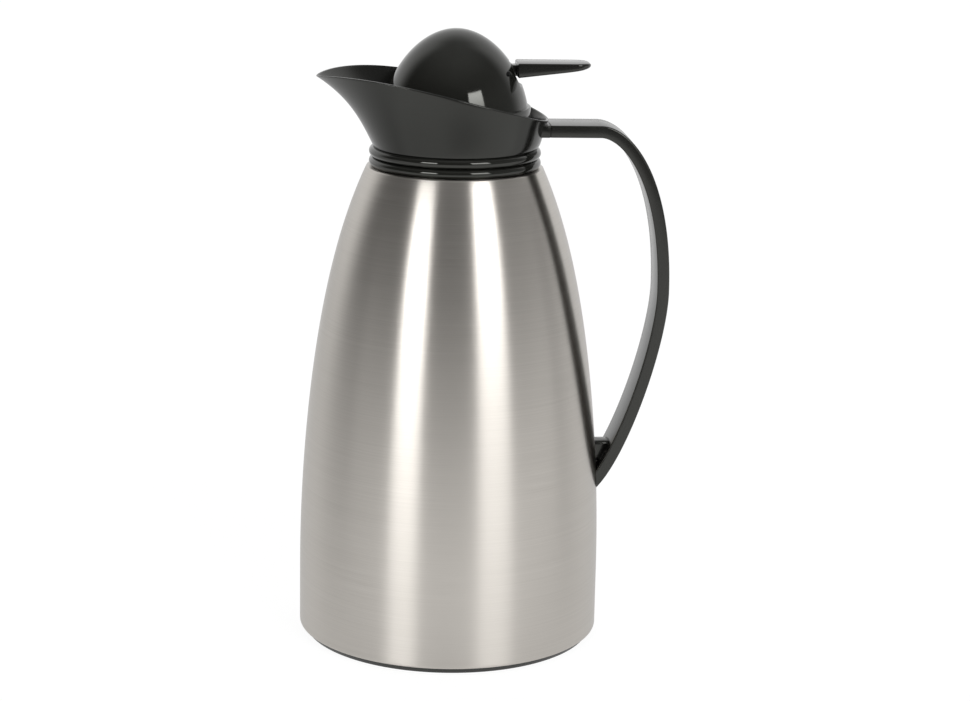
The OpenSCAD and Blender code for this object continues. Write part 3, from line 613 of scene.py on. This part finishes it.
def stopper_cap():
    """Dome: a glossy shell with a lip, and a recess with a slot for the lever."""
    flange_top = FLANGE_Z + FLANGE_T
    step_w, step_h = FLANGE_STEP
    step_r, step_z = FLANGE_R - step_w, flange_top + step_h
    lip_top = DOME_Z + LIP_H
    outer = dome_profile(DOME_R, DOME_TOP_Z)
    inner = dome_profile(DOME_R - DOME_WALL, DOME_TOP_Z - DOME_WALL)
    above = [p for p in outer if p[1] > lip_top + 0.2]
    inside = [p for p in inner if p[1] > flange_top + 2.5]
    outline = [(LIP_R, DOME_Z), (LIP_R, lip_top), (above[0][0] + 0.02, lip_top)]
    outline += above + list(reversed(inside))
    outline += [(inside[0][0], step_z), (step_r, step_z), (step_r, flange_top),
                (DOME_R - DOME_WALL, flange_top), (DOME_R - DOME_WALL, DOME_Z)]
    cap = turned("stopper_cap", rounded(outline, dict(enumerate(LIP_ROUNDS)), 6), FINE_TURN_STEPS)

    reach = DOME_R
    half_w = POCKET_W / 2
    wall_low = (POCKET_X - POCKET_WALL, -half_w - POCKET_WALL, POCKET_FLOOR_Z - POCKET_WALL)
    wall_high = (POCKET_X + reach, half_w + POCKET_WALL, POCKET_FLOOR_Z + DOME_H)
    walls = box_shape("walls", wall_low, wall_high)
    combine(walls, along_y("ears", PIN_X, PIN_Z, EAR_R, 1.98 * reach), "UNION")
    slot = box_shape("slot", (SLOT_X, -SLOT_W / 2, POCKET_FLOOR_Z - DOME_H),
                     (POCKET_X, SLOT_W / 2, POCKET_FLOOR_Z + DOME_H))
    combine(walls, slot, "DIFFERENCE")
    outside = [(0, DOME_Z)] + dome_profile(DOME_R - 0.05, DOME_TOP_Z)
    combine(walls, turned("outside", outside, FINE_TURN_STEPS), "INTERSECT")
    combine(cap, walls, "UNION")
    pocket_edge, opening_edge = POCKET_EDGES
    pocket = box_shape("pocket", (POCKET_X, -half_w, POCKET_FLOOR_Z),
                       (POCKET_X + reach, half_w, POCKET_FLOOR_Z + DOME_H), pocket_edge)
    combine(cap, pocket, "DIFFERENCE")
    opening = box_shape("opening", (SLOT_X, -SLOT_W / 2, PIN_Z - HUB_R - HUB_GAP),
                        (SLOT_X + reach, SLOT_W / 2, PIN_Z + HUB_R + HUB_GAP), opening_edge)
    combine(cap, opening, "DIFFERENCE")
    combine(cap, along_y("pin_hole", PIN_X, PIN_Z, PIN_HOLE_R, 3 * reach), "DIFFERENCE")
    shade_smooth(cap)
    analytic_normals(cap, above, lip_top + 1)
    return cap


def blade_edges():
    """The blade's side view: functions that give its underside and top at a place along X."""
    steps = 40
    tip = (LEVER_REACH, BLADE_TOP_Z - 1.2)
    under = [(LEVER_REACH - 12.3, BLADE_TOP_Z - 4.2), (LEVER_REACH - 4, BLADE_TOP_Z - 3.2),
             (LEVER_REACH, BLADE_TOP_Z - 2.2), tip]
    over = [tip, (LEVER_REACH, BLADE_TOP_Z), (LEVER_REACH - 2, BLADE_TOP_Z),
            (LEVER_REACH - 5, BLADE_TOP_Z)]
    low_line = [Vector((BLADE_ROOT_X, BLADE_TOP_Z - BLADE_H))]
    low_line += [bezier(under, i / steps) for i in range(steps + 1)]
    top_line = [Vector((BLADE_ROOT_X, BLADE_TOP_Z))]
    top_line += [bezier(over, i / steps) for i in range(steps, -1, -1)]

    def read(line, x):
        for p, q in zip(line, line[1:]):
            if p.x <= x <= q.x:
                return lerp(p.y, q.y, (x - p.x) / max(q.x - p.x, 1e-9))
        return line[-1].y

    return (lambda x: read(low_line, x)), (lambda x: read(top_line, x))


def lever_blade():
    """The lever's flat blade with rounded edges and tip."""
    under, over = blade_edges()
    nose_x = LEVER_REACH - TIP_ROUND
    start_x = BLADE_ROOT_X + BLADE_ROOT_EDGE
    places = [BLADE_ROOT_X, start_x]
    places += [lerp(start_x, nose_x, i / 24) for i in range(1, 25)]
    places += [nose_x + TIP_ROUND * math.sin(math.radians(a)) for a in range(4, 90, 4)]
    places.append(LEVER_REACH - 0.002)
    rings = []
    for x in places:
        inset = BLADE_ROOT_EDGE if x == BLADE_ROOT_X else 0.0
        half_w = BLADE_W / 2 - inset
        if x > nose_x:
            half_w += math.sqrt(max(TIP_ROUND ** 2 - (x - nose_x) ** 2, 0)) - TIP_ROUND
        bottom, top = under(x) + inset, over(x) - inset
        half_t = max((top - bottom) / 2, 0.01)
        section = strap_section(half_w, half_t, min(BLADE_EDGE, half_t * 0.9))
        rings.append([(x, w, (top + bottom) / 2 + t) for w, t in section])
    return bar("blade", rings)


def thumb_lever():
    """Lever: its blade, its hub, and the arm with the fork."""
    half_hub, half_fork = HUB_W / 2, FORK_W / 2
    parts = [lever_blade(), along_y("hub", PIN_X, PIN_Z, HUB_R, HUB_W, edge=0.3)]
    for name, low_corner, high_corner in (
            ("root", (PIN_X, -half_hub, PIN_Z - ROOT_HALF_H),
             (BLADE_ROOT_X + 1, half_hub, PIN_Z + ROOT_HALF_H)),
            ("arm", (ARM_X, -half_hub, ARM_BOTTOM), (PIN_X, half_hub, ARM_TOP)),
            ("bridge", (BRIDGE_X[0], -half_fork, ARM_BOTTOM), (BRIDGE_X[1], half_fork, ARM_TOP))):
        parts.append(box_shape(name, low_corner, high_corner, FORK_EDGE))
    for side in (-1, 1):
        near, far = sorted((side * STEM_GAP / 2, side * half_fork))
        parts.append(box_shape("prong", (PRONG_X[0], near, ARM_BOTTOM), (PRONG_X[1], far, ARM_TOP),
                               FORK_EDGE))
        nub = along_y("nub", 0, NUB_Z, NUB_R, far - near, edge=0.2)
        nub.data.transform(Matrix.Translation((0, (near + far) / 2 * MM, 0)))
        parts.append(nub)
    return join("thumb_lever", parts)


def coil_spring():
    """Return spring: one round wire on a screw line."""
    steps, sides = 24, 10
    start, end = SPRING_LOW_Z + WIRE_R, SPRING_TOP_Z - WIRE_R
    count = SPRING_TURNS * steps
    climb = (end - start) / (2 * math.pi * SPRING_R * SPRING_TURNS)
    turns = [2 * math.pi * k / sides for k in range(sides)]
    rings = []
    for i in range(count + 1):
        a = 2 * math.pi * i / steps
        out = Vector((math.cos(a), math.sin(a), 0))
        run = Vector((-math.sin(a), math.cos(a), climb)).normalized()
        up = out.cross(run)
        middle = SPRING_R * out + Vector((0, 0, lerp(start, end, i / count)))
        rings.append([middle + WIRE_R * (math.cos(b) * out + math.sin(b) * up) for b in turns])
    return bar("coil_spring", rings)


# ---------------------------------------------------------------- materials
def new_material(name):
    material = bpy.data.materials.new(name)
    material.use_nodes = True
    tree = material.node_tree
    return material, tree, tree.nodes["Principled BSDF"]


def stretched_noise(tree, scale, detail=3.0, rough=0.6):
    """Noise in the object's own metres, with its own frequency along X, Y and Z."""
    place = tree.nodes.new("ShaderNodeTexCoord")
    stretch = tree.nodes.new("ShaderNodeMapping")
    stretch.inputs["Scale"].default_value = scale
    noise = tree.nodes.new("ShaderNodeTexNoise")
    noise.inputs["Scale"].default_value = 1.0
    noise.inputs["Detail"].default_value = detail
    noise.inputs["Roughness"].default_value = rough
    tree.links.new(place.outputs["Object"], stretch.inputs["Vector"])
    tree.links.new(stretch.outputs["Vector"], noise.inputs["Vector"])
    return noise.outputs["Fac"]


def spread(tree, value, to_low, to_high):
    """Maps a noise's usual span to a span of values."""
    node = tree.nodes.new("ShaderNodeMapRange")
    node.inputs["From Min"].default_value = 0.3
    node.inputs["From Max"].default_value = 0.7
    node.inputs["To Min"].default_value = to_low
    node.inputs["To Max"].default_value = to_high
    tree.links.new(value, node.inputs["Value"])
    return node.outputs["Result"]


def two_tone(tree, value, dark, light):
    """A colour between two close tones."""
    mix = tree.nodes.new("ShaderNodeMix")
    mix.data_type = "RGBA"
    mix.inputs["A"].default_value = (*dark, 1)
    mix.inputs["B"].default_value = (*light, 1)
    tree.links.new(value, mix.inputs["Factor"])
    return mix.outputs["Result"]


def tone_and_gloss(tree, shader, noise, dark, light, rough_low, rough_high):
    """Gives a shader a colour and a roughness that follow one noise."""
    tone = two_tone(tree, spread(tree, noise, 0, 1), dark, light)
    tree.links.new(tone, shader.inputs["Base Color"])
    tree.links.new(spread(tree, noise, rough_low, rough_high), shader.inputs["Roughness"])


def bump(tree, shader, height, distance, strength):
    node = tree.nodes.new("ShaderNodeBump")
    node.inputs["Distance"].default_value = distance
    node.inputs["Strength"].default_value = strength
    tree.links.new(height, node.inputs["Height"])
    tree.links.new(node.outputs["Normal"], shader.inputs["Normal"])


def brushed_steel():
    """Stainless steel brushed round the axis: long fine lines that spread highlights along Z."""
    material, tree, shader = new_material("brushed_steel")
    shader.inputs["Metallic"].default_value = 1.0
    shader.inputs["Specular Tint"].default_value = (0.85, 0.85, 0.85, 1)
    shader.inputs["Anisotropic"].default_value = 0.9
    shader.inputs["Anisotropic Rotation"].default_value = 0.25
    fine = stretched_noise(tree, (14, 14, 5200), 2.0)
    coarse = stretched_noise(tree, (5, 5, 900))
    tone = two_tone(tree, spread(tree, fine, 0, 1), (0.55, 0.522, 0.483), (0.605, 0.575, 0.535))
    tree.links.new(tone, shader.inputs["Base Color"])
    tree.links.new(spread(tree, coarse, 0.29, 0.335), shader.inputs["Roughness"])
    tangent = tree.nodes.new("ShaderNodeTangent")
    tangent.direction_type = "RADIAL"
    tangent.axis = "Z"
    tree.links.new(tangent.outputs["Tangent"], shader.inputs["Tangent"])
    bump(tree, shader, fine, 0.000006, 0.5)
    return material


def moulded_plastic(name, dark, light, rough_low, rough_high, grain, grain_depth):
    """Moulded plastic: a faint tone change, a slightly uneven gloss and a fine grain."""
    material, tree, shader = new_material(name)
    shader.inputs["IOR"].default_value = 1.5
    shader.inputs["Specular Tint"].default_value = (0.99, 1.0, 0.94, 1)
    cloud = stretched_noise(tree, (35, 35, 35))
    fine = stretched_noise(tree, (grain, grain, grain), 2.0)
    tone_and_gloss(tree, shader, cloud, dark, light, rough_low, rough_high)
    bump(tree, shader, fine, grain_depth, 0.6)
    return material


def soft_rubber(name, dark, light):
    """Matt rubber with a fine dull grain."""
    material, tree, shader = new_material(name)
    shader.inputs["IOR"].default_value = 1.43
    cloud = stretched_noise(tree, (90, 90, 90), 4.0)
    tone_and_gloss(tree, shader, cloud, dark, light, 0.48, 0.62)
    bump(tree, shader, stretched_noise(tree, (2500, 2500, 2500)), 0.00002, 0.5)
    return material


def bare_metal(name, dark, light, rough_low, rough_high, grain):
    """Metal with faint streaks."""
    material, tree, shader = new_material(name)
    shader.inputs["Metallic"].default_value = 1.0
    streaks = stretched_noise(tree, grain)
    tone_and_gloss(tree, shader, streaks, dark, light, rough_low, rough_high)
    return material


# darker tone, lighter tone, least and most roughness, grains in a metre, depth of a grain in m
PLASTICS = {
    "base_black": ((0.012, 0.012, 0.012), (0.018, 0.018, 0.017), 0.35, 0.45, 3000, 0.00001),
    "gloss_black": ((0.009, 0.0092, 0.0076), (0.0125, 0.0127, 0.0108), 0.05, 0.09, 900, 0.000004),
    "collar_grey": ((0.0042, 0.0043, 0.0037), (0.0064, 0.0065, 0.0057), 0.16, 0.22, 2600, 0.000006),
    "handle_black": ((0.011, 0.011, 0.010), (0.015, 0.015, 0.014), 0.14, 0.2, 2200, 0.000006),
    "plug_black": ((0.012, 0.012, 0.012), (0.018, 0.018, 0.017), 0.3, 0.4, 3000, 0.00001),
    "lever_black": ((0.010, 0.010, 0.009), (0.014, 0.014, 0.013), 0.1, 0.15, 1500, 0.000005),
    "valve_grey": ((0.26, 0.26, 0.25), (0.31, 0.31, 0.30), 0.32, 0.42, 3000, 0.00001),
}
# darker tone, lighter tone
RUBBERS = {
    "cushion_rubber": ((0.035, 0.035, 0.035), (0.055, 0.055, 0.053)),
    "silicone": ((0.66, 0.64, 0.58), (0.74, 0.72, 0.66)),
}
# darker tone, lighter tone, least and most roughness, streaks in a metre along X, Y and Z
METALS = {
    "silvered_glass": ((0.80, 0.83, 0.84), (0.88, 0.90, 0.91), 0.04, 0.09, (20, 20, 60)),
    "plain_steel": ((0.52, 0.51, 0.49), (0.60, 0.59, 0.57), 0.22, 0.34, (900, 900, 900)),
    # the lever's pin is dark all over, so that its end makes a dark dimple in the dome's side
    "pin_black": ((0.02, 0.02, 0.02), (0.04, 0.04, 0.04), 0.3, 0.42, (900, 900, 900)),
}
MATERIALS = {"steel_body": brushed_steel()}
for make, kind in ((moulded_plastic, PLASTICS), (soft_rubber, RUBBERS), (bare_metal, METALS)):
    for name, values in kind.items():
        MATERIALS[name] = make(name, *values)


# ---------------------------------------------------------------- dressing
def paint(obj, slot_name):
    """Gives an object its only material."""
    obj.data.materials.clear()
    obj.data.materials.append(MATERIALS[slot_name])


def dress(obj, slot_name, body, node):
    """Gives a piece its material and its body, and hides the node that it stands for."""
    paint(obj, slot_name)
    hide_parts(node)
    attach(obj, body)


REMODELLED = {
    "outer_shell": body_shell,
    "base_ring": base_foot,
    "neck_ring": neck_beads,
    "collar": pouring_collar,
    "handle": strap_handle,
    "stopper_dome": stopper_cap,
    "lever": thumb_lever,
    "return_spring": coil_spring,
}
record = frame["record"]
slots = {part["node"]: part["material_slot"] for part in record["subparts"]}
bodies = {node: body for body, nodes in record["behaviour"]["bodies"].items() for node in nodes}
for node, model in REMODELLED.items():
    made = model()
    if node != "stopper_dome":   # which has its own normals
        shade_smooth(made)
    dress(made, slots[node], bodies[node], node)
    if node == "return_spring":
        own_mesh(made)
for node, obj in frame["nodes"].items():
    if node not in REMODELLED:
        paint(obj, slots[node])
        shade_smooth(obj, NODE_SHARP_ANGLE)


# ---------------------------------------------------------------- studio
CAMERA_PLACE = Vector((-0.0813, -1.1622, 0.423))
CAMERA_HEADING = math.radians(4.78)     # to the right of +Y
CAMERA_DIP = math.radians(13.8)
CAMERA_ROLL = math.radians(1.15)
IMAGE_W = 970                           # px
FOCAL_PX = 2526                         # focal length in those px
SENSOR_W = 36.0


def make_camera():
    data = bpy.data.cameras.new("camera")
    data.sensor_width = SENSOR_W
    data.lens = FOCAL_PX / IMAGE_W * SENSOR_W
    camera = bpy.data.objects.new("camera", data)
    bpy.context.scene.collection.objects.link(camera)
    ahead = Vector((math.sin(CAMERA_HEADING) * math.cos(CAMERA_DIP),
                    math.cos(CAMERA_HEADING) * math.cos(CAMERA_DIP), -math.sin(CAMERA_DIP)))
    right = ahead.cross(Vector((0, 0, 1))).normalized()
    up = right.cross(ahead)
    tilted_right = math.cos(CAMERA_ROLL) * right + math.sin(CAMERA_ROLL) * up
    tilted_up = tilted_right.cross(ahead)
    axes = Matrix((tilted_right, tilted_up, -ahead)).transposed()
    camera.matrix_world = Matrix.Translation(CAMERA_PLACE) @ axes.to_4x4()
    bpy.context.scene.camera = camera


class Maths:
    """Short way to write sums of numbers with shader nodes."""

    def __init__(self, tree):
        self.tree = tree

    def op(self, operation, *values):
        """A Math node on numbers or sockets."""
        node = self.tree.nodes.new("ShaderNodeMath")
        node.operation = operation
        for socket, value in zip(node.inputs, values):
            if isinstance(value, (int, float)):
                socket.default_value = value
            else:
                self.tree.links.new(value, socket)
        return node.outputs[0]

    def rest(self, value):
        """What value leaves of 1."""
        return self.op("SUBTRACT", 1, value)

    def step(self, value, start, end):
        """Rises smoothly from 0 at start to 1 at end."""
        node = self.tree.nodes.new("ShaderNodeMapRange")
        node.interpolation_type = "SMOOTHSTEP"
        node.inputs["From Min"].default_value = start
        node.inputs["From Max"].default_value = end
        self.tree.links.new(value, node.inputs["Value"])
        return node.outputs["Result"]

    def between(self, value, start, end, soft):
        """1 between start and end, with a fade of twice soft at both."""
        return self.op("MULTIPLY", self.step(value, start - soft, start + soft),
                       self.rest(self.step(value, end - soft, end + soft)))

    def axes(self, output):
        """X, Y and Z of one of the texture coordinates."""
        place = self.tree.nodes.new("ShaderNodeTexCoord")
        split = self.tree.nodes.new("ShaderNodeSeparateXYZ")
        self.tree.links.new(place.outputs[output], split.inputs[0])
        return split.outputs


# bearings and heights are in degrees, as seen from the part: 0 is straight before it
# first and last bearing, top, and light at the bottom and the top of each softbox
SOFTBOXES = [(-49.5, -28, 22, 0.9, 14.0), (19, 45, 35, 0.85, 9.0)]
SOFTBOX_FOOT = -3
SOFTBOX_SOFT = 0.8                      # half the width of their edges' fade
SOFTBOX_RISE = 3                        # height at which their light starts to rise
ROOM_LEFT, ROOM_MIDDLE, ROOM_RIGHT = 0.08, 0.12, 0.3
ROOM_MIDDLE_FADE = -40, 0               # bearings over which the left goes over to the middle
ROOM_RIGHT_FADE = 30, 60                # bearings over which the right wall starts
ROOM_RIGHT_TOP = 20, 50                 # heights over which it ends
CEILING = 0.33                          # light that is added towards the top
CEILING_RISE = 25, 80                   # heights between which it is added
BACKDROP_EDGES = (-119, 112)            # bearings at which the white backdrop starts
BACKDROP_SOFT = 16                      # half the width of each edge's fade
BACKDROP_LIGHT = 0.93
BACKDROP_TOP = 62


def make_world():
    """A dark room with two softboxes in front and a white backdrop behind, by direction."""
    world = bpy.data.worlds.new("studio")
    bpy.context.scene.world = world
    world.use_nodes = True
    tree = world.node_tree
    tree.nodes.clear()
    m = Maths(tree)
    x, y, z = m.axes("Generated")
    bearing = m.op("DEGREES", m.op("ARCTAN2", x, m.op("MULTIPLY", y, -1)))
    height = m.op("DEGREES", m.op("ARCSINE", z))

    middle = m.step(bearing, *ROOM_MIDDLE_FADE)
    room = m.op("ADD", ROOM_LEFT, m.op("MULTIPLY", middle, ROOM_MIDDLE - ROOM_LEFT))
    right_wall = m.op("MULTIPLY", m.step(bearing, *ROOM_RIGHT_FADE),
                      m.rest(m.step(height, *ROOM_RIGHT_TOP)))
    room = m.op("ADD", room, m.op("MULTIPLY", right_wall, ROOM_RIGHT - ROOM_MIDDLE))
    room = m.op("ADD", room, m.op("MULTIPLY", m.step(height, *CEILING_RISE), CEILING))
    left, right = BACKDROP_EDGES
    above = m.step(height, BACKDROP_TOP - BACKDROP_SOFT, BACKDROP_TOP + BACKDROP_SOFT)
    behind = m.op("MULTIPLY", m.rest(m.between(bearing, left, right, BACKDROP_SOFT)), m.rest(above))
    light = m.op("ADD", room, m.op("MULTIPLY", behind, m.op("SUBTRACT", BACKDROP_LIGHT, room)))
    for start, end, top, light_low, light_high in SOFTBOXES:
        lit = m.op("MULTIPLY", m.between(bearing, start, end, SOFTBOX_SOFT),
                   m.between(height, SOFTBOX_FOOT, top, SOFTBOX_SOFT))
        rise = m.op("MULTIPLY", m.step(height, SOFTBOX_RISE, top), light_high - light_low)
        light = m.op("ADD", light, m.op("MULTIPLY", lit, m.op("ADD", light_low, rise)))

    direct = tree.nodes.new("ShaderNodeLightPath").outputs["Is Camera Ray"]
    shown = m.op("ADD", direct, m.op("MULTIPLY", m.rest(direct), light))
    background = tree.nodes.new("ShaderNodeBackground")
    background.inputs["Color"].default_value = (1, 1, 1, 1)
    output = tree.nodes.new("ShaderNodeOutputWorld")
    tree.links.new(shown, background.inputs["Strength"])
    tree.links.new(background.outputs[0], output.inputs["Surface"])


FLOOR_R = 9.0                           # m
FLOOR_DROP = 0.1                        # mm under the part's foot
FLOOR_TONES = (0.84, 0.84, 0.84), (0.87, 0.87, 0.87)
FLOOR_GLOW = 0.85                       # share of plain white that the camera and gloss see
FLOOR_WHITE = 1.1                       # light of the floor for the camera
FLOOR_BACK, FLOOR_FRONT = 0.87, 1.3     # and in reflections, behind and before the part
FLOOR_TURN = 0, 0.26                    # where one goes over to the other, in m before the part
FLOOR_SIDE = 0.78                       # share of it that is left far out on the left
FLOOR_SIDE_FADE = 0.25, 0.8             # where it starts to fade and has faded, in m to the left
FLOOR_FAR = 0.1                         # share that is left beyond the table's front edge
FLOOR_EDGE = 1.0, 1.4                   # where that edge starts and ends, in m before the part


def make_floor():
    """A pale floor that stays near white and keeps a faint shadow."""
    bm = bmesh.new()
    bmesh.ops.create_circle(bm, cap_ends=True, segments=64, radius=FLOOR_R / MM)
    floor = new_object("floor", bm)
    floor.location.z = -FLOOR_DROP * MM
    material, tree, shader = new_material("floor")
    shader.inputs["Roughness"].default_value = 0.9
    shader.inputs["Specular IOR Level"].default_value = 0.0
    tone = two_tone(tree, stretched_noise(tree, (300, 300, 300), 2.0), *FLOOR_TONES)
    tree.links.new(tone, shader.inputs["Base Color"])

    m = Maths(tree)
    path = tree.nodes.new("ShaderNodeLightPath")
    direct = path.outputs["Is Camera Ray"]
    gloss = m.op("ADD", path.outputs["Is Glossy Ray"], path.outputs["Is Transmission Ray"])
    seen = m.op("MINIMUM", 1, m.op("ADD", direct, gloss))
    x, y, _ = m.axes("Object")
    before, aside = m.op("MULTIPLY", y, -1), m.op("MULTIPLY", x, -1)
    front = m.op("MULTIPLY", m.step(before, *FLOOR_TURN), FLOOR_FRONT - FLOOR_BACK)
    mirrored = m.op("ADD", FLOOR_BACK, front)
    for where, fade, left in ((aside, FLOOR_SIDE_FADE, FLOOR_SIDE),
                              (before, FLOOR_EDGE, FLOOR_FAR)):
        loss = m.op("MULTIPLY", m.step(where, *fade), 1 - left)
        mirrored = m.op("MULTIPLY", mirrored, m.rest(loss))
    strength = m.op("ADD", m.op("MULTIPLY", direct, FLOOR_WHITE),
                    m.op("MULTIPLY", m.rest(direct), mirrored))
    glow = tree.nodes.new("ShaderNodeEmission")
    tree.links.new(strength, glow.inputs["Strength"])
    mix = tree.nodes.new("ShaderNodeMixShader")
    tree.links.new(m.op("MULTIPLY", seen, FLOOR_GLOW), mix.inputs[0])
    tree.links.new(shader.outputs[0], mix.inputs[1])
    tree.links.new(glow.outputs[0], mix.inputs[2])
    tree.links.new(mix.outputs[0], tree.nodes["Material Output"].inputs["Surface"])
    floor.data.materials.append(material)


make_camera()
make_world()
make_floor()
bpy.context.scene.view_settings.view_transform = "Standard"
